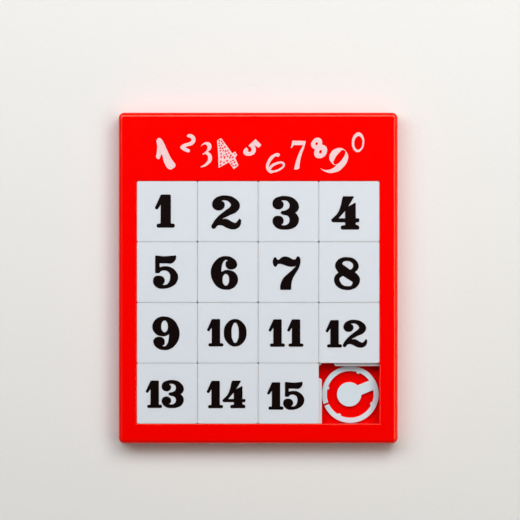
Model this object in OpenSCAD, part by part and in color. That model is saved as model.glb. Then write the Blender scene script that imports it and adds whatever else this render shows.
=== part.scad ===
// Sliding tile puzzle: fifteen tiles that interlock by tongue and groove, in a tray of
// sixteen cells. One cell is free, so a tile or a line of tiles can be pushed into it.
// It lies on its back: +X is to the right, +Y is up the face, +Z is towards the player.
// The origin is the middle of the tray's outline, on its back face. Sizes are millimetres.

/* [Board] */
// Distance from one cell to the next, which is also the travel of one move
pitch = 23; // [20:0.5:30]
// Gap between neighbouring tiles, and twice the gap between a tile and the tray
tile_gap = 0.08; // [0.06:0.01:0.35]
// Height of the tiles' rims above the tray's floor
tile_lift = 1.4; // [1.2:0.1:3]

/* [Tiles] */
// Thickness of a tile, from its rim to its face
tile_t = 4.4; // [4.2:0.1:6]
// Radius of a tile's four upright corners
tile_corner_r = 0.6; // [0.4:0.05:1.2]
// Thickness of a tile's face over its hollow
tile_face_t = 1.2; // [1:0.1:1.6]
// Thickness of the walls round a tile's hollow
tile_wall = 3; // [2.5:0.1:4]

/* [Tongues and grooves] */
// How far a tongue stands out of its tile
tongue_w = 1.2; // [0.9:0.05:1.5]
// Thickness of a tongue
tongue_t = 1.2; // [0.8:0.05:1.5]
// Depth of a tongue's upper side below the tile's face
tongue_drop = 1.6; // [1.3:0.05:2]
// Length left off the free end of each tongue
tongue_cutback = 5.8; // [4:0.1:8]
// Radius at the free end of a tongue
tongue_end_r = 0.9; // [0.5:0.1:1]
// Radius of the corner where the two tongues of a tile meet
tongue_corner_r = 1.5; // [1.2:0.1:2]
// Clearance above and below a tongue in its groove
tongue_play = 0.15; // [0.1:0.01:0.2]
// Clearance between a tongue's edge and the floor of its groove
groove_end_gap = 0.35; // [0.25:0.05:0.5]

/* [Tray] */
// Width of the frame at the left and right of the board
margin = 7; // [6.2:0.1:12]
// Width of the frame at the foot of the board
foot_h = 7.6; // [6.2:0.1:12]
// Height of the header panel above the board
header_h = 26.1; // [22:0.1:40]
// Thickness of the back plate
back_t = 2; // [1.6:0.1:3]
// Depth of the tiles' faces below the frame's face
face_step = 0.2; // [0.1:0.05:0.5]
// Thickness of the face over the hollow header
face_t = 1.8; // [1.4:0.1:2.2]
// Radius of the frame's four upright corners
frame_corner_r = 2.2; // [2:0.1:4]
// Radius of the frame's front outer edge
frame_edge_r = 1.7; // [0.6:0.1:1.8]
// Thickness of the skirt that surrounds the back plate
skirt = 1.5; // [1.2:0.1:2]
// Clearance round the back plate and round its ledges
plate_fit = 0.15; // [0.1:0.01:0.2]

/* [Pegs and coring] */
// Radius of the pegs that hold the back plate
peg_r = 1.1; // [0.8:0.1:1.2]
// Clearance round a peg in its socket
peg_fit = 0.1; // [0.05:0.01:0.15]
// Thickness of plate left under a socket
socket_floor = 0.6; // [0.4:0.1:0.8]
// Width of the coring pockets in the margins
core_w = 2.2; // [1.6:0.1:2.4]
// Thickness of the ribs inside the header
rib_t = 1.2; // [0.8:0.1:2]
// Depth of the ribs inside the header
rib_h = 2.5; // [1.5:0.1:3]

/* [Spacer ring] */
// Clearance over the spacer when a tile stands above it
spacer_headroom = 0.3; // [0.2:0.05:0.4]
// Clearance round the spacer between the tongues and the tray
spacer_gap = 0.06; // [0.05:0.01:0.3]
// Width of the spacer's band
band_w = 1.95; // [1.4:0.05:2.4]
// Radius of the spacer's centre disc
disc_r = 4.63; // [3.5:0.01:5.5]
// How far the disc lies to the left of the band's centre
disc_shift = 0.42; // [0:0.01:1]
// Width of the arm from the disc to the band
arm_w = 3.9; // [2.5:0.1:5]
// Direction of the arm, measured from the right
arm_angle = 22.3; // [0:0.1:45]
// Width of the split in the band
split_w = 0.75; // [0.4:0.05:1]
// Width of the nubs inside the band
nub_w = 1.1; // [0.8:0.05:1.5]
// Height of the nubs inside the band
nub_h = 0.5; // [0.3:0.05:0.8]

/* [Hidden] */
// Cells along each side of the board, and the last one, which is free
cells = 4;
free_cell = cells * cells;

$fn = 64;

board = cells * pitch;

// Outline of the tray, and the middle of its board
frame_w = board + 2 * margin;
frame_h = board + foot_h + header_h;
board_y = (foot_h - header_h) / 2;
board_top = board_y + board / 2;

// Heights of the tiles, their tongues and the frame's face
tile_z = back_t + tile_lift;
tile_top = tile_z + tile_t;
frame_t = tile_top + face_step;
tongue_z = tile_top - tongue_drop - tongue_t;
groove_z = tongue_z - tongue_play;
groove_h = tongue_t + 2 * tongue_play;

// A tile, and how far its tongue reaches past the edge of its cell
tile_w = pitch - tile_gap;
tongue_reach = tongue_w - tile_gap / 2;
groove_d = tongue_w - tile_gap + groove_end_gap;
slot_d = tongue_reach + groove_end_gap;
ledge_w = slot_d - plate_fit;

// Line of the pegs in the margins, measured in from the frame's outline
peg_inset = (skirt + plate_fit + margin - slot_d) / 2;
peg_x = frame_w / 2 - peg_inset;
peg_y = frame_h / 2 - peg_inset;

// The spacer lies between two tongues and two walls, so it is off its cell's centre.
// Its nubs' directions are measured from the arm.
spacer_r = (pitch - tongue_reach) / 2 - spacer_gap;
spacer_shift = tongue_reach / 2;
spacer_t = tile_lift - spacer_headroom;
nub_angles = [48, 142, -46, -140];

// Overlap of pieces that are joined, and overrun of cuts
lap = 0.5;

// Name of a tile's node, such as tile_07
function tile_name(n) = str("tile_", n < 10 ? "0" : "", n);

// Middle of a cell, where cell 1 is the upper left one and they count along each row
function cell_x(n) = ((n - 1) % cells - (cells - 1) / 2) * pitch;
function cell_y(n) = board_y + ((cells - 1) / 2 - floor((n - 1) / cells)) * pitch;

// Box given by its lowest and highest corners
module span(low, high) {
    translate(low)
        cube(high - low);
}

// Rectangle w by h with corners of radius r
module rounded_square(w, h, r) {
    square([w - 2 * r, h], center = true);
    square([w, h - 2 * r], center = true);
    for (sx = [-1, 1], sy = [-1, 1])
        translate([sx * (w / 2 - r), sy * (h / 2 - r)])
            circle(r);
}

// Cross-section of a block of width w and height t whose upper edges have radius e
module crowned_section(w, t, e) {
    translate([-w / 2, 0])
        square([w, t - e]);
    translate([e - w / 2, 0])
        square([w - 2 * e, t]);
    for (side = [-1, 1])
        translate([side * (w / 2 - e), t - e])
            circle(e);
}

// Block with corner radius r whose front edge is rounded all round by e
module crowned_block(w, h, t, r, e) {
    rotate([90, 0, 0])
        translate([0, 0, r - h / 2])
            linear_extrude(h - 2 * r)
                crowned_section(w, t, e);
    rotate([90, 0, 90])
        translate([0, 0, r - w / 2])
            linear_extrude(w - 2 * r)
                crowned_section(h, t, e);
    for (sx = [-1, 1], sy = [-1, 1])
        translate([sx * (w / 2 - r), sy * (h / 2 - r), 0])
            rotate_extrude()
                intersection() {
                    crowned_section(2 * r, t, e);
                    square([r, t]);
                }
}

// Places a child at each peg
module at_pegs() {
    for (side = [-1, 1], step = [-2, 0, 2])
        translate([side * peg_x, board_y + step * pitch, 0])
            children();
    for (x = [-peg_x, 0, peg_x])
        translate([x, peg_y, 0])
            children();
    translate([0, -peg_y, 0])
        children();
}

// Space of the board inside the frame, with the slots under the right and lower lips
module board_space() {
    span([-board / 2, board_y - board / 2, -lap], [board / 2, board_top, frame_t + lap]);
    span(
        [-board / 2, board_y - board / 2 - slot_d, back_t - lap],
        [board / 2 + slot_d, board_top, groove_z + groove_h]
    );
}

// Rails along the left and upper walls, which enter the grooves of the outer tiles
module rails() {
    span(
        [-board / 2 - lap, board_y - board / 2 - lap, tongue_z],
        [-board / 2 + tongue_reach, board_top + lap, tongue_z + tongue_t]
    );
    span(
        [-board / 2 - lap, board_top - tongue_reach, tongue_z],
        [board / 2, board_top + lap, tongue_z + tongue_t]
    );
}

// Coring pockets in the margins, which keep the moulding's walls thin
module cores() {
    core_l = 2 * pitch - 4 * peg_r - core_w;
    core_top = frame_t - face_t;
    for (side = [-1, 1], step = [-1, 1])
        translate([side * peg_x, board_y + step * pitch, (back_t + core_top) / 2])
            cube([core_w, core_l, core_top - back_t], center = true);
    for (step = [-1, 1])
        translate([step * pitch, -peg_y, (back_t + core_top) / 2])
            cube([core_l, core_w, core_top - back_t], center = true);
}

// Hollow behind the header panel, with ribs under its face
module header_hollow() {
    low_y = board_top + slot_d + rib_t;
    high_y = peg_y - peg_r - rib_t;
    top = frame_t - face_t;
    difference() {
        span([-board / 2, low_y, back_t - lap], [board / 2, high_y, top]);
        for (step = [-1, 0, 1])
            span(
                [step * pitch - rib_t / 2, low_y - lap, top - rib_h],
                [step * pitch + rib_t / 2, high_y + lap, top + lap]
            );
    }
}

module front_frame() {
    color("#f20a0a") {
        difference() {
            crowned_block(frame_w, frame_h, frame_t, frame_corner_r, frame_edge_r);
            translate([0, 0, -lap])
                linear_extrude(back_t + lap)
                    rounded_square(frame_w - 2 * skirt, frame_h - 2 * skirt, frame_corner_r - skirt);
            board_space();
            cores();
            header_hollow();
        }
        rails();
        at_pegs()
            translate([0, 0, socket_floor + peg_fit])
                cylinder(r = peg_r, h = back_t - socket_floor - peg_fit + lap);
    }
}

// Back plate: the tray's floor, with a ledge under the right and lower slots
module back_plate() {
    color("#e00808") {
        difference() {
            linear_extrude(back_t)
                rounded_square(
                    frame_w - 2 * (skirt + plate_fit),
                    frame_h - 2 * (skirt + plate_fit),
                    frame_corner_r - skirt
                );
            at_pegs()
                translate([0, 0, socket_floor])
                    cylinder(r = peg_r + peg_fit, h = back_t);
        }
        span(
            [board / 2, board_y - board / 2 - ledge_w, back_t - lap],
            [board / 2 + ledge_w, board_top - plate_fit, groove_z]
        );
        span(
            [-board / 2 + plate_fit, board_y - board / 2 - ledge_w, back_t - lap],
            [board / 2 + lap, board_y - board / 2, groove_z]
        );
    }
}

// Outline of the right-hand tongue, from its free end down to the tile's corner
module tongue_outline() {
    edge = tile_w / 2 + tongue_w;
    free_y = tile_w / 2 - tongue_cutback;
    inner = tile_w / 2 - lap;
    translate([inner, tongue_corner_r - edge])
        square([edge - inner, free_y - tongue_end_r + edge - tongue_corner_r]);
    translate([inner, free_y - 2 * tongue_end_r])
        square([edge - tongue_end_r - inner, 2 * tongue_end_r]);
    translate([edge - tongue_end_r, free_y - tongue_end_r])
        circle(tongue_end_r);
    translate([edge - tongue_corner_r, tongue_corner_r - edge])
        circle(tongue_corner_r);
}

// A tile in the cell of its number, with a hollow underside
module tile(n) {
    color("#e6e9ef")
        translate([cell_x(n), cell_y(n), 0]) {
            difference() {
                translate([0, 0, tile_z])
                    linear_extrude(tile_t)
                        rounded_square(tile_w, tile_w, tile_corner_r);
                span(
                    [-tile_w / 2 - lap, -tile_w / 2 - lap, groove_z],
                    [-tile_w / 2 + groove_d, tile_w / 2 + lap, groove_z + groove_h]
                );
                span(
                    [-tile_w / 2 - lap, tile_w / 2 - groove_d, groove_z],
                    [tile_w / 2 + lap, tile_w / 2 + lap, groove_z + groove_h]
                );
                translate([0, 0, tile_z - lap])
                    linear_extrude(tile_t - tile_face_t + lap)
                        rounded_square(tile_w - 2 * tile_wall, tile_w - 2 * tile_wall, tile_corner_r);
            }
            translate([0, 0, tongue_z])
                linear_extrude(tongue_t) {
                    tongue_outline();
                    mirror([1, 1, 0])
                        tongue_outline();
                }
        }
}

// Outline of the spacer: a split band with four nubs, and a disc on an arm
module spacer_outline() {
    band_inner_r = spacer_r - band_w;
    difference() {
        circle(spacer_r);
        circle(band_inner_r);
        rotate(arm_angle + 180)
            translate([0, -split_w / 2])
                square([spacer_r + lap, split_w]);
    }
    translate([-disc_shift, 0]) {
        circle(disc_r);
        rotate(arm_angle)
            translate([0, -arm_w / 2])
                square([band_inner_r + disc_shift + lap, arm_w]);
    }
    for (angle = nub_angles)
        rotate(arm_angle + angle)
            translate([band_inner_r - nub_h, -nub_w / 2])
                square([nub_h + lap, nub_w]);
}

// Loose spacer on the floor of the free cell
module spacer_ring() {
    color("#dfe4ea")
        translate([cell_x(free_cell) + spacer_shift, cell_y(free_cell) - spacer_shift, back_t])
            linear_extrude(spacer_t)
                spacer_outline();
}

front_frame();
back_plate();
spacer_ring();
for (n = [1:free_cell - 1])
    tile(n);
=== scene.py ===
"""Sliding tile puzzle: a red moulded tray, fifteen white tiles with printed numbers, and one free cell.

Lengths are in metres. Outlines of printed shapes are in millimetres.
"""

import math

import bpy
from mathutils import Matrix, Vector


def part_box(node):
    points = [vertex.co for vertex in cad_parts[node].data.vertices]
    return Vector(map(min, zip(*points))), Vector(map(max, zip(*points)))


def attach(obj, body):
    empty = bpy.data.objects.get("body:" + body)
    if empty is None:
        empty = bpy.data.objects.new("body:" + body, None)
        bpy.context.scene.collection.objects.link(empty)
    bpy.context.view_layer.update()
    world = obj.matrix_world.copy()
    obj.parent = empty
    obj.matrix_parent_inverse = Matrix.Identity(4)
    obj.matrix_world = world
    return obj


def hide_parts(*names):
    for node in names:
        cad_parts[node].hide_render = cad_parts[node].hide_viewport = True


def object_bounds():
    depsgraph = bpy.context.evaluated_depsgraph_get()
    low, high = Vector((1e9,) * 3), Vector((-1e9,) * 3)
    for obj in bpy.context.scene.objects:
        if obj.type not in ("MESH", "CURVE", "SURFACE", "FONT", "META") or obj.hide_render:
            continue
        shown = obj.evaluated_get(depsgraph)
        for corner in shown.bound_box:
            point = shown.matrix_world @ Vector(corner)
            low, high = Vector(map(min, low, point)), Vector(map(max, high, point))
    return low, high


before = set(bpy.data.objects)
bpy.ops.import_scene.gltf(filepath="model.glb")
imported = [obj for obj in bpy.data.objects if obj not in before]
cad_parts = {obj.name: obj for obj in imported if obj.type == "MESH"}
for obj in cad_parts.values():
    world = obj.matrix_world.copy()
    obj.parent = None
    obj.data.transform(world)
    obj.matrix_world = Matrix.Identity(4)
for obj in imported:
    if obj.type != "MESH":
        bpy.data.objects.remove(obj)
cad_low, cad_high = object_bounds()

MM = 0.001

# Faces that meet at less than SMOOTH_ANGLE are shaded as one. Faces of one plane, within FLAT_ANGLE, are
# joined, and so are corners closer than MERGE_DISTANCE
SMOOTH_ANGLE = math.radians(35)
FLAT_ANGLE = math.radians(0.1)
MERGE_DISTANCE = 0.001 * MM

# Rounding of the moulded edges, and thickness of the printed ink
LIP_ROUND = 0.45 * MM
TILE_ROUND = 0.04 * MM
SPACER_ROUND = 0.12 * MM
INK_THICKNESS = 0.03 * MM

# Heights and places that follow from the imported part
TILE_COUNT = 15
FIRST_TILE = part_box("tile_01")
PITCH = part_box("tile_02")[0].x - FIRST_TILE[0].x
TILE_FACE = FIRST_TILE[1].z
FRAME_FACE = cad_high.z
BOARD_SIDE = 4 * PITCH
BOARD_LEFT = -BOARD_SIDE / 2
TILE_GAP = 2 * (FIRST_TILE[0].x - BOARD_LEFT)
BOARD_TOP = FIRST_TILE[1].y + TILE_GAP / 2


# ---------------------------------------------------------------- node and selection helpers


def linear(hex_colour):
    """An sRGB hex colour as linear red, green, blue and alpha."""
    parts = [int(hex_colour[i : i + 2], 16) / 255 for i in (1, 3, 5)]
    return [p / 12.92 if p <= 0.04045 else ((p + 0.055) / 1.055) ** 2.4 for p in parts] + [1]


def per_metre(size_mm):
    """Texture scale that gives features of this size in millimetres."""
    return 1 / (size_mm * MM)


def add_node(tree, kind, inputs, **settings):
    """Adds a node to a material's tree. An input is a value, or another node's output to link."""
    node = tree.nodes.new(kind)
    for name, value in settings.items():
        setattr(node, name, value)
    for socket, value in inputs.items():
        if isinstance(value, bpy.types.NodeSocket):
            tree.links.new(value, node.inputs[socket])
        else:
            node.inputs[socket].default_value = value
    return node


def new_material(name):
    """An empty material, its tree and its surface shader."""
    material = bpy.data.materials.new(name)
    material.use_nodes = True
    tree = material.node_tree
    return material, tree, tree.nodes["Principled BSDF"]


def take_up(piece):
    """Makes one piece the only selected one and the active one."""
    bpy.ops.object.select_all(action="DESELECT")
    piece.select_set(True)
    bpy.context.view_layer.objects.active = piece


def pick_edges(piece, wanted):
    """Leaves the piece in edit mode with the edges selected whose two ends pass the test."""
    bpy.ops.object.mode_set(mode="EDIT")
    bpy.ops.mesh.select_mode(type="EDGE")
    bpy.ops.mesh.select_all(action="DESELECT")
    bpy.ops.object.mode_set(mode="OBJECT")
    corners = piece.data.vertices
    for edge in piece.data.edges:
        edge.select = all(wanted(corners[i].co) for i in edge.vertices)
    bpy.ops.object.mode_set(mode="EDIT")


# ---------------------------------------------------------------- materials


def moulded_plastic(name, light, dark, gloss, dull, grain_mm, grain_depth_mm):
    """An injection-moulded plastic: an even colour with faint flow marks and a fine skin."""
    material, tree, shader = new_material(name)
    place = add_node(tree, "ShaderNodeTexCoord", {}).outputs["Object"]
    # Faint flow marks of the moulding, some 14 mm across
    flow = add_node(
        tree,
        "ShaderNodeTexNoise",
        {"Vector": place, "Scale": per_metre(14), "Detail": 3, "Distortion": 0.6},
    )
    colour = add_node(tree, "ShaderNodeMix", {"Factor": flow.outputs["Fac"]}, data_type="RGBA")
    colour.inputs["A"].default_value = linear(light)
    colour.inputs["B"].default_value = linear(dark)
    # Handling dulls the gloss in patches some 5 mm across
    handled = add_node(
        tree,
        "ShaderNodeTexNoise",
        {"Vector": place, "Scale": per_metre(5), "Detail": 4},
    )
    sheen = add_node(
        tree,
        "ShaderNodeMapRange",
        {
            "Value": handled.outputs["Fac"],
            "From Min": 0.3,
            "From Max": 0.7,
            "To Min": gloss,
            "To Max": dull,
        },
    )
    # Grain of the mould's steel
    grain = add_node(
        tree,
        "ShaderNodeTexNoise",
        {"Vector": place, "Scale": per_metre(grain_mm), "Detail": 2},
    )
    skin = add_node(
        tree,
        "ShaderNodeBump",
        {"Height": grain.outputs["Fac"], "Strength": 1, "Distance": grain_depth_mm * MM},
    )
    tree.links.new(colour.outputs["Result"], shader.inputs["Base Color"])
    tree.links.new(sheen.outputs["Result"], shader.inputs["Roughness"])
    tree.links.new(skin.outputs["Normal"], shader.inputs["Normal"])
    shader.inputs["IOR"].default_value = 1.57
    return material


def printed_ink(name, full, thin, roughness, stipple_mm):
    """Ink laid down through a screen or by a pad: even, with thin spots where it took less well."""
    material, tree, shader = new_material(name)
    place = add_node(tree, "ShaderNodeTexCoord", {}).outputs["Object"]
    stipple = add_node(
        tree,
        "ShaderNodeTexNoise",
        {"Vector": place, "Scale": per_metre(stipple_mm), "Detail": 3},
    )
    cover = add_node(
        tree,
        "ShaderNodeMapRange",
        {"Value": stipple.outputs["Fac"], "From Min": 0.45, "From Max": 0.75},
    )
    colour = add_node(tree, "ShaderNodeMix", {"Factor": cover.outputs["Result"]}, data_type="RGBA")
    colour.inputs["A"].default_value = linear(full)
    colour.inputs["B"].default_value = linear(thin)
    lay = add_node(
        tree,
        "ShaderNodeBump",
        {"Height": stipple.outputs["Fac"], "Strength": 1, "Distance": 0.004 * MM},
    )
    tree.links.new(colour.outputs["Result"], shader.inputs["Base Color"])
    tree.links.new(lay.outputs["Normal"], shader.inputs["Normal"])
    shader.inputs["Roughness"].default_value = roughness
    shader.inputs["IOR"].default_value = 1.5
    return material


def pale_paper():
    """Matt paper under the puzzle."""
    material, tree, shader = new_material("matt_paper")
    place = add_node(tree, "ShaderNodeTexCoord", {}).outputs["Object"]
    fibre = add_node(
        tree,
        "ShaderNodeTexNoise",
        {"Vector": place, "Scale": per_metre(1.2), "Detail": 4},
    )
    colour = add_node(tree, "ShaderNodeMix", {"Factor": fibre.outputs["Fac"]}, data_type="RGBA")
    colour.inputs["A"].default_value = linear("#ebebea")
    colour.inputs["B"].default_value = linear("#e6e6e5")
    tree.links.new(colour.outputs["Result"], shader.inputs["Base Color"])
    shader.inputs["Roughness"].default_value = 0.9
    return material


# High-impact polystyrene moulded against polished steel: glossy pure red with a slight orange peel
TRAY_RED = moulded_plastic("moulded_polystyrene_red", "#ff0200", "#fc0100", 0.08, 0.13, 1.1, 0.0006)
# The pigment under its skin warms its gloss
TRAY_SHADER = TRAY_RED.node_tree.nodes["Principled BSDF"].inputs
TRAY_SHADER["Specular Tint"].default_value = linear("#ffedc4")
# The same plastic against a plain milled face, so the plate under the tiles is a little duller
FLOOR_RED = moulded_plastic(
    "moulded_polystyrene_red_plate", "#f30100", "#ec0100", 0.11, 0.16, 0.35, 0.0005
)
# White polystyrene with a little blue in it, semi-gloss, which lets some light through its thin edges
TILE_WHITE = moulded_plastic("moulded_polystyrene_white", "#e2e8f0", "#dfe5ee", 0.14, 0.22, 0.9, 0.001)
TILE_SHADER = TILE_WHITE.node_tree.nodes["Principled BSDF"].inputs
TILE_SHADER["Subsurface Weight"].default_value = 0.6
TILE_SHADER["Subsurface Radius"].default_value = (1.0, 1.0, 1.0)
TILE_SHADER["Subsurface Scale"].default_value = 1.2 * MM
# Milk-white polypropylene, a little waxy
SPACER_WHITE = moulded_plastic(
    "moulded_polypropylene_white", "#d7e6ee", "#d0e0e9", 0.28, 0.38, 0.6, 0.002
)
# Pad-printed black, deep and slightly satin, with a trace of brown where it is thin
NUMBER_INK = printed_ink("pad_printed_ink_black", "#0d0303", "#150a09", 0.2, 0.35)
# Screen-printed white, thin enough for the red under it to tint it
HEADER_INK = printed_ink("screen_printed_ink_white", "#f2d0d2", "#ebbdc4", 0.4, 0.8)


# ---------------------------------------------------------------- moulded parts


def moulding(node, body, material):
    """A copy of a moulded part as one joined skin, which stands for the part."""
    piece = bpy.data.objects.new(node + "_moulding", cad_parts[node].data.copy())
    bpy.context.scene.collection.objects.link(piece)
    take_up(piece)
    bpy.ops.mesh.customdata_custom_splitnormals_clear()
    bpy.ops.object.mode_set(mode="EDIT")
    bpy.ops.mesh.select_all(action="SELECT")
    bpy.ops.mesh.remove_doubles(threshold=MERGE_DISTANCE)
    bpy.ops.mesh.dissolve_limited(angle_limit=FLAT_ANGLE)
    bpy.ops.object.mode_set(mode="OBJECT")
    piece.data.materials.clear()
    piece.data.materials.append(material)
    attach(piece, body)
    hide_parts(node)
    return piece


def soften(piece, width, steps, wanted):
    """Rounds the edges whose ends pass the test."""
    take_up(piece)
    pick_edges(piece, wanted)
    bpy.ops.mesh.bevel(offset=width, segments=steps, affect="EDGES")
    bpy.ops.object.mode_set(mode="OBJECT")


def shade(piece):
    """Smooth shading over the rounded edges, with the flat faces kept flat."""
    take_up(piece)
    bpy.ops.object.shade_smooth_by_angle(angle=SMOOTH_ANGLE)
    weighted = piece.modifiers.new("flat faces", "WEIGHTED_NORMAL")
    weighted.keep_sharp = True
    bpy.ops.object.modifier_apply(modifier=weighted.name)


def near(value, target):
    """Whether two lengths are the same to 0.01 mm."""
    return abs(value - target) < 0.01 * MM


def tray_frame():
    """The front frame, its opening's lip rounded and its face lowered by the header ink's thickness."""
    piece = moulding("front_frame", "tray", TRAY_RED)
    middle = BOARD_TOP - BOARD_SIDE / 2

    def on_lip(point):
        reach = max(abs(point.x), abs(point.y - middle))
        return near(point.z, FRAME_FACE) and near(reach, BOARD_SIDE / 2)

    soften(piece, LIP_ROUND, 4, on_lip)
    shade(piece)
    bpy.ops.object.mode_set(mode="EDIT")
    bpy.ops.mesh.select_all(action="SELECT")
    lowered = (FRAME_FACE - INK_THICKNESS) / FRAME_FACE
    bpy.ops.transform.resize(value=(1, 1, lowered), center_override=(0, 0, 0))
    bpy.ops.object.mode_set(mode="OBJECT")
    return piece


def tile_piece(number):
    """A tile, with the edge of its face rounded."""
    name = f"tile_{number:02d}"
    piece = moulding(name, name, TILE_WHITE)
    soften(piece, TILE_ROUND, 3, lambda point: near(point.z, TILE_FACE))
    shade(piece)
    return piece


def spacer_piece():
    """The loose spacer, with its upper edges rounded."""
    piece = moulding("spacer_ring", "spacer_ring", SPACER_WHITE)
    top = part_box("spacer_ring")[1].z
    soften(piece, SPACER_ROUND, 3, lambda point: near(point.z, top))
    shade(piece)
    return piece


# ---------------------------------------------------------------- printed shapes
# A point (x, y) lies on a smooth curve. A point (x, y, r) is a corner, rounded by r. An outline that
# follows another one in a list is a hole in it.

# A rounded corner takes at most this share of each side, and its curve bends this far to the corner
CORNER_SHARE = 0.45
CORNER_BEND = 0.55
# Straight pieces that a curve has between two points
CURVE_STEPS = 6
# Sharper turns than the one with this cosine don't reach further when the ink spreads
SHARPEST_TURN = -0.4


def oval(x, y, half_w, half_h, tilt=0):
    """A smooth outline of eight points round an oval turned by tilt degrees."""
    turn = math.radians(tilt)
    outline = []
    for step in range(8):
        angle = step * math.pi / 4
        across = half_w * math.cos(angle)
        up = half_h * math.sin(angle)
        right = across * math.cos(turn) - up * math.sin(turn)
        rise = across * math.sin(turn) + up * math.cos(turn)
        outline.append((x + right, y + rise))
    return outline


def upside_down(outlines, width, height):
    """Outlines turned half round inside a box of this width and height."""
    return [[(width - p[0], height - p[1], *p[2:]) for p in outline] for outline in outlines]


ONE = [[
    (2.3, 12.6, 0.4), (6.0, 12.6, 0.5), (6.0, 1.4, 0.3), (7.5, 1.35, 0.65), (7.5, 0, 0.65),
    (0.7, 0, 0.65), (0.7, 1.35, 0.65), (2.2, 1.35, 0.3), (2.2, 8.8, 0.1), (0.85, 6.9, 0.45),
    (-0.05, 7.4, 0.45),
]]
TWO = [[
    (5.5, 12.8), (9.1, 11.6), (10.75, 9.1), (9.7, 6.8), (6.8, 5.3), (3.9, 3.75, 0), (5.7, 3.75),
    (8.1, 2.5), (9.15, 2.25), (10.05, 3.0), (10.65, 3.9, 0.3), (11.35, 3.3, 0.3), (10.95, 1.4),
    (9.65, 0.15), (7.8, -0.1), (6.0, 0.4), (3.65, 1.45), (2.1, 1.3), (1.45, 0.5), (0.65, 0.1),
    (-0.05, 0.8), (0.4, 2.0), (2.1, 4.3), (5.5, 7.2), (7.05, 8.35), (7.5, 9.25), (6.9, 10.3),
    (5.6, 11.05), (3.65, 10.95, 0), (4.6, 10.2), (4.9, 9.25), (4.3, 7.8), (2.6, 7.2), (0.8, 7.95),
    (0.25, 9.4), (0.8, 11.1), (2.35, 12.3),
]]
THREE = [[
    (4.9, 12.8), (8.05, 11.9), (10.0, 9.0), (9.5, 7.2), (8.55, 6.4, 0), (9.5, 5.4), (10.0, 3.65),
    (9.1, 1.45), (7.0, 0.25), (4.9, 0), (2.05, 0.4), (0.35, 1.95), (0, 3.4), (0.6, 4.7), (2.05, 5.15),
    (3.6, 4.6), (4.1, 3.4), (3.8, 2.3), (3.1, 1.7, 0), (4.5, 1.45), (6.0, 2.1), (6.6, 3.65), (6.0, 5.1),
    (3.9, 5.8), (3.0, 6.3, 0.3), (3.5, 6.95), (4.7, 7.2), (6.1, 7.95), (6.6, 9.25), (6.0, 10.7),
    (4.7, 11.3), (3.1, 11.15, 0), (3.9, 10.4), (4.1, 9.5), (3.6, 8.35), (2.05, 7.8), (0.5, 8.5),
    (0, 9.8), (0.5, 11.5), (2.3, 12.5),
]]
FOUR = [
    [
        (4.5, 12.7, 0.3), (8.65, 12.7, 0.45), (6.4, 8.8, 0), (9.25, 10.3, 0.4), (9.25, 4.2, 0.1),
        (10.6, 4.2, 0.5), (10.6, 2.8, 0.5), (9.25, 2.8, 0.3), (9.25, 1.9), (10.6, 1.3, 0.6),
        (10.6, 0, 0.6), (3.65, 0, 0.6), (3.65, 1.3, 0.6), (5.3, 1.7), (5.3, 2.8, 0.1), (0.3, 2.8, 0.4),
        (0, 3.6), (0.7, 4.4), (2.3, 6.1), (3.65, 9.3), (4.2, 11.9),
    ],
    [(5.25, 7.2, 0.1), (2.6, 4.2, 0.2), (5.3, 4.2, 0.1)],
]
FIVE = [[
    (0.8, 12.7, 0.4), (4.5, 12.4), (8.8, 12.75, 0.35), (8.5, 11.2), (7.2, 9.9), (5.0, 9.8),
    (2.3, 9.85, 0.15), (2.35, 8.2, 0.1), (4.5, 8.55), (7.0, 8.0), (9.0, 6.1), (9.5, 4.6), (8.9, 2.4),
    (7.0, 0.8), (4.0, 0.05), (1.6, 0.4), (0.25, 1.8), (0, 3.3), (0.6, 4.5), (2.1, 4.9), (3.7, 4.4),
    (4.3, 3.1), (4.0, 2.1), (3.35, 1.45, 0), (4.5, 1.3), (5.8, 2.0), (6.6, 4.2), (6.3, 6.0), (5.2, 6.9),
    (4.2, 7.1), (2.9, 6.8), (2.2, 6.1), (1.5, 6.05), (0.8, 6.05, 0.5),
]]
SIX = [
    [
        (5.7, 12.8), (8.3, 12.1), (9.9, 10.1), (9.6, 8.6), (7.9, 7.85), (6.2, 8.4), (5.7, 9.7),
        (6.0, 10.8), (6.7, 11.25, 0), (5.7, 11.55), (4.6, 10.6), (4.0, 8.5), (3.85, 6.65, 0.1),
        (5.4, 7.35), (7.0, 7.4), (9.1, 6.5), (10.3, 4.05), (9.6, 1.7), (7.8, 0.3), (5.7, 0), (2.8, 0.9),
        (0.7, 3.5), (0, 6.4), (0.35, 8.7), (2.0, 11.3), (3.6, 12.4),
    ],
    oval(5.7, 3.75, 1.38, 2.4),
]
SEVEN = [[
    (0.9, 12.4), (1.6, 11.5), (2.15, 11.45), (3.4, 12.4), (4.8, 12.7), (6.3, 12.3), (7.7, 11.6),
    (8.7, 11.7), (9.1, 12.4), (9.6, 12.75), (10.3, 12.1), (10.4, 10.3), (9.8, 8.2), (8.4, 5.9),
    (7.4, 4.0), (7.0, 2.2), (6.9, 0, 0.4), (2.8, 0, 0.4), (2.9, 1.7), (4.0, 4.3), (5.8, 6.1),
    (7.6, 7.7), (8.8, 9.05, 0), (7.1, 8.9), (5.5, 9.15), (3.7, 9.8), (2.5, 10.05), (1.8, 9.9),
    (1.25, 9.1), (0.9, 8.95), (0.3, 9.4), (0.25, 11.9),
]]
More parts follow.
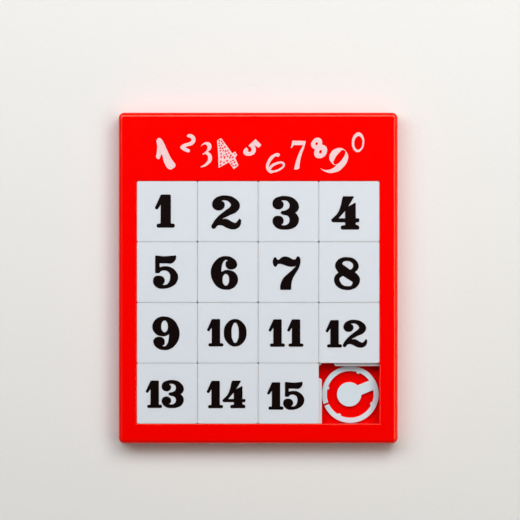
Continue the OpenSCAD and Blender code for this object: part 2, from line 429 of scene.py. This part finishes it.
EIGHT = [
    [
        (4.95, 12.5), (7.7, 11.8), (9.3, 9.35), (8.9, 7.8), (7.8, 6.8, 0.1), (9.3, 5.4), (9.8, 3.85),
        (8.9, 1.5), (6.9, 0.25), (4.8, 0), (2.2, 0.6), (0.4, 2.3), (0, 4.1), (0.5, 5.5),
        (1.7, 6.6, 0.1), (0.8, 8.0), (0.4, 9.35), (1.3, 11.3), (3.0, 12.3),
    ],
    [(2.8, 10.0, 0.3), (3.5, 10.9), (4.95, 11.2), (6.7, 10.6), (7.4, 9.35), (7.0, 8.2), (6.2, 7.55, 0.3)],
    [(3.3, 5.5, 0.3), (7.3, 2.95, 0.3), (6.7, 1.65), (4.95, 1.3), (3.2, 1.8), (2.1, 3.3), (1.95, 4.4)],
]
NINE = upside_down(SIX, 10.3, 12.8)
NOUGHT = [oval(5.18, 6.29, 5.18, 6.29), oval(5.18, 6.29, 1.76, 4.86)]
NUMERALS = [NOUGHT, ONE, TWO, THREE, FOUR, FIVE, SIX, SEVEN, EIGHT, NINE]

# Size of a lone numeral. Pairs are printed smaller, with a gap that suits the second numeral, from 0 to 5
LONE_SIZE = 0.982
PAIR_SIZE = 0.817
PAIR_GAP = [0.3, 0.86, 0.37, 0.0, -0.17, 0.07]

# How far the ink spreads past its outline on lone numerals, and on the numerals 0 to 5 of the pairs. The
# header's ink stays inside its outlines
LONE_SPREAD = 0.1
PAIR_SPREAD = [0.08, 0.06, 0.02, 0.1, 0.04, 0.12]
HEADER_SPREAD = -0.1

# How far each number's middle lies to the right of its tile's middle, and above it
PRINT_SHIFT = [
    (-0.95, 0.15), (-0.55, -0.35), (-1.05, -0.5), (-1.45, -0.55), (-0.6, 0.05), (-1.3, -0.3),
    (-0.6, -0.35), (-0.8, -0.55), (-0.47, -0.2), (-0.45, 0), (-0.98, -0.1), (-1.03, -0.35),
    (-0.97, -0.25), (-0.73, -0.4), (-1.1, -0.9),
]


def span(outlines, axis):
    """Lowest and highest value of the outlines' points along x (0) or y (1)."""
    values = [point[axis] for outline in outlines for point in outline]
    return min(values), max(values)


def moved(outlines, size, right, up):
    """Outlines scaled by size and then moved."""
    return [
        [(p[0] * size + right, p[1] * size + up, *[r * size for r in p[2:]]) for p in outline]
        for outline in outlines
    ]


def signed_area(outline):
    """Area inside an outline of straight sides, negative if it runs clockwise."""
    return sum(outline[i - 1][0] * p[1] - p[0] * outline[i - 1][1] for i, p in enumerate(outline)) / 2


def spread_outlines(outlines, spread):
    """One numeral's outlines with its ink grown by spread on every side, so that its holes shrink."""
    grown = []
    for number, outline in enumerate(outlines):
        outward = spread if (signed_area(outline) > 0) == (number == 0) else -spread
        points = [Vector(point[:2]) for point in outline]
        count = len(points)
        new = []
        for i, point in enumerate(points):
            before = (point - points[i - 1]).normalized()
            after = (points[(i + 1) % count] - point).normalized()
            reach = 1 / (1 + max(before.dot(after), SHARPEST_TURN))
            side = Vector((before.y + after.y, -before.x - after.x)) * reach
            place = point + side * outward
            new.append((place.x, place.y, *outline[i][2:]))
        grown.append(new)
    return grown


def lay_outline(curve, outline):
    """Adds a closed outline to a curve, in metres, with smooth points and rounded corners."""
    # Each knot is a place, its left handle's kind and place, and its right handle's
    knots = []
    count = len(outline)
    for i, point in enumerate(outline):
        here = Vector((point[0], point[1], 0))
        if len(point) == 2:
            knots.append((here, "AUTO", None, "AUTO", None))
            continue
        before = Vector((outline[i - 1][0], outline[i - 1][1], 0)) - here
        after = Vector((outline[(i + 1) % count][0], outline[(i + 1) % count][1], 0)) - here
        if point[2] == 0:
            knots.append((here, "VECTOR", None, "VECTOR", None))
            continue
        back = min(point[2], CORNER_SHARE * before.length, CORNER_SHARE * after.length)
        start = here + before.normalized() * back
        end = here + after.normalized() * back
        knots.append((start, "VECTOR", None, "FREE", start.lerp(here, CORNER_BEND)))
        knots.append((end, "FREE", end.lerp(here, CORNER_BEND), "VECTOR", None))
    spline = curve.splines.new("BEZIER")
    spline.use_cyclic_u = True
    spline.bezier_points.add(len(knots) - 1)
    for knot, (place, left_type, left, right_type, right) in zip(spline.bezier_points, knots):
        knot.co = place * MM
        knot.handle_left = (left or place) * MM
        knot.handle_right = (right or place) * MM
        knot.handle_left_type = left_type
        knot.handle_right_type = right_type


def print_on(name, outlines, origin, base, body, material):
    """Ink in the shape of the outlines, as a thin closed slab from the height of its base."""
    bpy.ops.object.select_all(action="DESELECT")
    bpy.ops.curve.primitive_bezier_circle_add(radius=1, location=(0, 0, 0))
    ink = bpy.context.object
    ink.name = name
    curve = ink.data
    curve.splines.clear()
    curve.dimensions = "2D"
    curve.fill_mode = "BOTH"
    curve.resolution_u = CURVE_STEPS
    curve.extrude = INK_THICKNESS / 2
    for outline in outlines:
        lay_outline(curve, outline)
    bpy.ops.object.convert(target="MESH")
    ink = bpy.context.object
    ink.location = (origin[0], origin[1], base + INK_THICKNESS / 2)
    bpy.ops.object.transform_apply(location=True, rotation=True, scale=True)
    bpy.ops.object.mode_set(mode="EDIT")
    bpy.ops.mesh.select_all(action="SELECT")
    bpy.ops.mesh.remove_doubles(threshold=2 * MERGE_DISTANCE)
    bpy.ops.mesh.normals_make_consistent(inside=False)
    bpy.ops.object.mode_set(mode="OBJECT")
    ink.data.materials.clear()
    ink.data.materials.append(material)
    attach(ink, body)
    return ink


def number_outlines(number):
    """Outlines of a tile's number, about the middle of the number."""
    if number < 10:
        outlines = spread_outlines(moved(NUMERALS[number], LONE_SIZE, 0, 0), LONE_SPREAD)
    else:
        second = number % 10
        tens = moved(ONE, PAIR_SIZE, 0, 0)
        units = moved(NUMERALS[second], PAIR_SIZE, 0, 0)
        right = span(tens, 0)[1] + PAIR_GAP[second] - span(units, 0)[0]
        units = moved(spread_outlines(units, PAIR_SPREAD[second]), 1, right, 0)
        outlines = spread_outlines(tens, PAIR_SPREAD[1]) + units
    low_x, high_x = span(outlines, 0)
    low_y, high_y = span(outlines, 1)
    return moved(outlines, 1, -(low_x + high_x) / 2, -(low_y + high_y) / 2)


def tile_number(number):
    """The printed number on a tile's face."""
    name = f"tile_{number:02d}"
    low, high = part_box(name)
    half = (PITCH - TILE_GAP) / 2
    right, up = PRINT_SHIFT[number - 1]
    middle = (low.x + half + right * MM, high.y - half + up * MM)
    outlines = number_outlines(number)
    print_on(f"number_{number:02d}", outlines, middle, TILE_FACE, name, NUMBER_INK)


# ---------------------------------------------------------------- header print
# Each numeral of the header is in a hand of its own.

BRUSH_ONE = [[
    (0.4, 11.6), (1.35, 12.1), (2.3, 11.55), (3.1, 10.3), (4.2, 7.9), (5.65, 4.85), (6.8, 3.1),
    (7.5, 2.15), (7.55, 1.35), (6.55, 0.35), (5.5, 0), (4.55, 0.4), (3.6, 1.7), (2.9, 3.3), (2.4, 5.35),
    (2.1, 5.8, 0.1), (1.85, 4.85), (1.3, 3.95), (0.7, 3.95), (0.05, 4.7), (0.25, 6.1), (0.5, 8.7),
]]
PEN_TWO = [[
    (2.5, 6.2), (2.85, 6.9), (3.65, 7.15), (5.05, 6.7), (5.95, 5.4), (5.75, 4.0), (4.65, 2.85),
    (2.85, 2.3), (2.25, 2.0, 0.1), (3.75, 1.1), (3.85, 0.55), (3.35, 0), (2.7, 0.1), (0.55, 1.25),
    (0, 2.0), (0.5, 2.8), (1.6, 3.5), (3.35, 4.0), (4.2, 4.7), (3.9, 5.5), (2.9, 5.85),
]]
QUILL_THREE = [[
    (0.25, 8.05, 0.15), (0.9, 9.0), (1.85, 9.6), (2.85, 9.75), (4.05, 9.25), (4.5, 8.05), (4.15, 6.85),
    (3.2, 6.0, 0.1), (4.2, 5.2), (4.7, 3.9), (4.45, 2.45), (3.25, 1.1), (1.7, 0.25), (0.3, 0, 0.1),
    (0, 0.3, 0.1), (1.35, 1.1), (2.5, 2.15), (3.0, 3.4), (2.8, 4.5), (2.0, 5.05), (0.95, 4.75, 0.1),
    (0.9, 5.2, 0.1), (2.0, 6.0), (2.7, 7.1), (2.65, 8.2), (2.0, 8.7), (1.2, 8.55), (0.4, 7.9, 0.1),
]]
# The four is filled with short pen strokes: half their width, then each one's middle, its tilt in
# degrees and half its length
PEN_HALF = 0.25
PEN_STROKES = [
    (0.98, 11.0, 35, 0.32), (0.95, 10.05, 35, 0.22), (0.95, 9.1, 45, 0.32), (1.37, 8.15, 55, 0.37),
    (1.35, 7.15, 40, 0.27), (1.65, 6.0, 60, 0.32), (1.7, 4.8, 60, 0.47), (1.5, 3.0, 60, 0.57),
    (1.45, 1.75, 40, 0.37), (1.85, 9.2, 20, 0.27), (2.25, 8.1, 50, 0.32), (2.5, 7.25, 50, 0.27),
    (3.35, 7.05, 60, 0.47), (3.6, 5.9, 50, 0.32), (4.1, 5.1, -45, 0.32), (1.9, 10.7, -50, 0.32),
    (2.35, 9.9, -60, 0.32), (3.05, 8.6, 45, 0.42), (4.2, 7.2, 50, 0.27), (4.65, 6.3, 50, 0.27),
    (5.35, 5.4, 50, 0.42), (5.0, 4.6, 50, 0.37), (6.05, 4.7, 50, 0.37), (6.8, 6.0, 50, 0.22),
    (6.2, 3.55, 40, 0.32), (5.35, 3.1, 50, 0.27), (6.7, 2.8, 45, 0.42), (5.7, 2.25, 45, 0.32),
    (6.15, 1.5, 45, 0.27), (7.15, 1.65, 45, 0.57), (2.75, 2.75, 45, 0.32), (3.9, 3.35, 20, 0.52),
]


def pen_stroke(x, y, tilt, half):
    """A short stroke left open in the ink, pointed at both ends."""
    along = Vector((math.cos(math.radians(tilt)), math.sin(math.radians(tilt))))
    aside = Vector((-along.y, along.x)) * PEN_HALF
    middle = Vector((x, y))
    corners = (middle - along * half, middle + aside, middle + along * half, middle - aside)
    return [(corner.x, corner.y, 0) for corner in corners]


HATCHED_FOUR = [
    [
        (0, 11.1, 0.3), (1.65, 12.15, 0.3), (5.9, 6.35, 0.1), (7.0, 7.05, 0.2), (7.9, 5.55, 0.2),
        (7.05, 4.55, 0.1), (8.4, 1.6, 0.3), (6.4, 0, 0.4), (4.6, 2.7, 0.1), (0.6, 0.5, 0.3), (0.4, 6.2),
    ],
    [(2.5, 5.9, 0), (3.3, 4.45, 0), (2.75, 4.25, 0)],
    *[pen_stroke(*stroke) for stroke in PEN_STROKES],
]
BLOCK_FIVE = [[
    (4.75, 6.5, 0.1), (7.1, 4.2, 0.1), (5.95, 2.9, 0.1), (4.25, 4.15, 0.1), (4.85, 3.2), (4.95, 1.95),
    (4.35, 0.7), (3.05, 0.05), (1.55, 0), (0.35, 0.55), (0, 1.55), (0.4, 2.55), (1.35, 3.4, 0.1),
    (2.15, 2.3, 0.1), (1.95, 1.85), (2.55, 1.6), (3.1, 2.1), (2.9, 3.0), (1.9, 3.85, 0.1),
]]
LOOPED_SIX = [
    [
        (4.4, 7.95), (5.3, 7.6), (5.4, 6.95), (4.65, 6.35), (3.8, 6.5), (2.65, 5.5), (1.6, 4.0),
        (1.05, 2.2, 0), (1.95, 3.45), (3.6, 4.35), (5.2, 4.75), (6.45, 4.65), (7.25, 3.85), (7.2, 2.8),
        (6.15, 1.7), (4.4, 0.75), (3.05, 0.4), (1.9, 0, 0.2), (0.6, 0.9), (0, 2.25), (0.05, 3.45),
        (0.6, 4.95), (1.4, 6.3), (2.65, 7.3),
    ],
    [
        (1.9, 1.5, 0.1), (2.65, 2.5), (4.0, 3.3), (5.1, 3.7), (6.15, 3.7), (6.35, 3.1), (5.35, 2.25),
        (4.0, 1.6), (2.65, 1.35),
    ],
]
BOOK_SEVEN = [[
    (0.6, 11.1, 0.15), (5.9, 11.0, 0.3), (5.3, 8.6), (4.45, 6.2), (3.8, 3.8), (3.45, 1.2),
    (3.4, 0.4, 0.3), (2.5, 0), (1.25, 0, 0.2), (1.6, 1.9), (2.35, 4.4), (3.35, 6.9), (4.65, 9.25, 0.1),
    (1.25, 9.25, 0.3), (0.75, 8.5), (0.4, 8.1, 0.15), (0, 8.35, 0.15), (0.3, 9.6),
]]
ROUND_EIGHT = [
    [
        (2.7, 7.95), (3.75, 7.55), (4.35, 6.5), (4.35, 5.3, 0.1), (5.2, 5.05), (6.05, 4.2),
        (6.25, 2.95), (5.75, 1.4), (4.6, 0.35), (3.25, 0), (1.9, 0.35), (1.15, 1.6), (1.4, 3.4, 0.1),
        (0.6, 3.9), (0, 4.95), (0.2, 6.2), (1.0, 7.3), (1.9, 7.85),
    ],
    oval(2.2, 5.6, 0.35, 0.5, -20),
    oval(3.65, 2.55, 0.42, 0.6, -20),
]
SLANTED_NINE = [
    [
        (0, 1.85, 0.05), (0.3, 1.95, 0.05), (1.5, 1.4), (2.6, 1.3), (4.4, 1.8), (5.6, 2.6),
        (6.1, 3.05, 0.1), (5.3, 3.1), (4.2, 4.0), (3.5, 5.1), (3.4, 6.3), (3.9, 7.7), (5.0, 8.9),
        (6.3, 9.5), (7.5, 9.7), (8.8, 9.35), (9.9, 8.4), (10.65, 7.0), (10.7, 5.6), (10.1, 3.9),
        (9.0, 2.4), (7.5, 1.0), (5.6, 0.25), (3.9, 0), (2.4, 0.3), (1.1, 0.9),
    ],
    [
        (8.75, 8.75), (9.4, 8.35), (9.45, 7.5), (8.6, 5.8), (7.5, 4.4), (6.3, 3.5), (5.5, 3.5),
        (5.1, 4.1), (5.5, 5.2), (6.3, 6.6), (7.35, 7.8),
    ],
]
RING_NOUGHT = [oval(2.43, 3.85, 2.42, 3.87, -4), oval(2.55, 3.6, 1.45, 2.5, -4)]

# Each numeral's name and outlines, and how far its lower left corner lies to the right of the board's
# upper left corner, and above it
HEADER = [
    ("header_one", BRUSH_ONE, 7.15, 4.35),
    ("header_two", PEN_TWO, 16.35, 10.8),
    ("header_three", QUILL_THREE, 23.9, 5.15),
    ("header_four", HATCHED_FOUR, 30.3, 4.35),
    ("header_five", BLOCK_FIVE, 40.25, 9.6),
    ("header_six", LOOPED_SIX, 48.9, 2.8),
    ("header_seven", BOOK_SEVEN, 58.3, 4.35),
    ("header_eight", ROUND_EIGHT, 66.0, 8.6),
    ("header_nine", SLANTED_NINE, 69.5, 3.0),
    ("header_nought", RING_NOUGHT, 81.45, 10.9),
]


def header_print():
    """Ten numerals in different hands, in white across the header."""
    for name, outlines, right, up in HEADER:
        corner = (BOARD_LEFT + right * MM, BOARD_TOP + up * MM)
        outlines = spread_outlines(outlines, HEADER_SPREAD)
        print_on(name, outlines, corner, FRAME_FACE - INK_THICKNESS, "tray", HEADER_INK)


# ---------------------------------------------------------------- stage


FLOOR_SIDE = 3
FLOOR_DROP = 0.2 * MM


def floor():
    """A plain pale sheet just under the puzzle."""
    bpy.ops.object.select_all(action="DESELECT")
    bpy.ops.mesh.primitive_plane_add(size=FLOOR_SIDE, location=(0, 0, -FLOOR_DROP))
    sheet = bpy.context.object
    sheet.name = "floor"
    bpy.ops.object.transform_apply(location=True, rotation=True, scale=True)
    sheet.data.materials.append(pale_paper())


def soft_light(name, place, length, width, power, colour):
    """A long level soft box at a place, aimed at the middle of the puzzle."""
    bpy.ops.object.light_add(type="AREA", location=place)
    lamp = bpy.context.object
    lamp.name = name
    lamp.data.shape = "RECTANGLE"
    lamp.data.size = length
    lamp.data.size_y = width
    lamp.data.energy = power
    lamp.data.color = linear(colour)[:3]
    lamp.rotation_euler = (-Vector(place)).to_track_quat("-Z", "Y").to_euler()


def lights():
    """Soft boxes on the four sides, the upper and right ones the strongest, under a dark ceiling."""
    soft_light("upper_light", (-0.08, 0.36, 0.54), 1.3, 0.38, 5.0, "#fafdff")
    soft_light("right_light", (0.35, 0.14, 0.54), 0.9, 0.34, 2.1, "#fffaf2")
    soft_light("left_light", (-0.46, 0.16, 0.60), 1.2, 0.7, 0.6, "#f6f9ff")
    soft_light("lower_light", (0.0, -0.50, 0.66), 1.3, 0.6, 0.1, "#f6f9ff")
    world = bpy.data.worlds.new("room")
    world.use_nodes = True
    tree = world.node_tree
    ray = add_node(tree, "ShaderNodeTexCoord", {}).outputs["Generated"]
    toward = add_node(tree, "ShaderNodeSeparateXYZ", {"Vector": ray}).outputs
    # A lit warm wall on the right, and dimmer ones all round
    side = add_node(
        tree,
        "ShaderNodeMapRange",
        {
            "Value": toward["X"],
            "From Min": 0.1,
            "From Max": 0.8,
            "To Min": 0.09,
            "To Max": 0.38,
        },
    )
    # The walls fade above some 20 degrees into the dark ceiling
    walls = add_node(
        tree,
        "ShaderNodeMapRange",
        {
            "Value": toward["Z"],
            "From Min": 0.35,
            "From Max": 0.75,
            "To Min": side.outputs["Result"],
            "To Max": 0.004,
        },
    )
    tree.links.new(walls.outputs["Result"], tree.nodes["Background"].inputs["Strength"])
    tree.nodes["Background"].inputs["Color"].default_value = linear("#ffd8a8")
    bpy.context.scene.world = world
    bpy.context.scene.view_settings.view_transform = "Standard"


# The camera looks straight down at a point a little above the middle of the tray
CAMERA_HEIGHT = 1.2
FIELD_WIDTH = 0.1972
AIM = (0.0007, 0.00685)


def camera():
    """A long lens over the puzzle."""
    bpy.ops.object.camera_add(location=(AIM[0], AIM[1], FRAME_FACE + CAMERA_HEIGHT), rotation=(0, 0, 0))
    view = bpy.context.object
    view.data.lens = view.data.sensor_width * CAMERA_HEIGHT / FIELD_WIDTH
    view.data.clip_end = 10
    bpy.context.scene.camera = view


# ---------------------------------------------------------------- the puzzle

tray_frame()
floor_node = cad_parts["back_plate"]
floor_node.data.materials.clear()
floor_node.data.materials.append(FLOOR_RED)
for number in range(1, TILE_COUNT + 1):
    tile_piece(number)
    tile_number(number)
spacer_piece()
header_print()
floor()
lights()
camera()
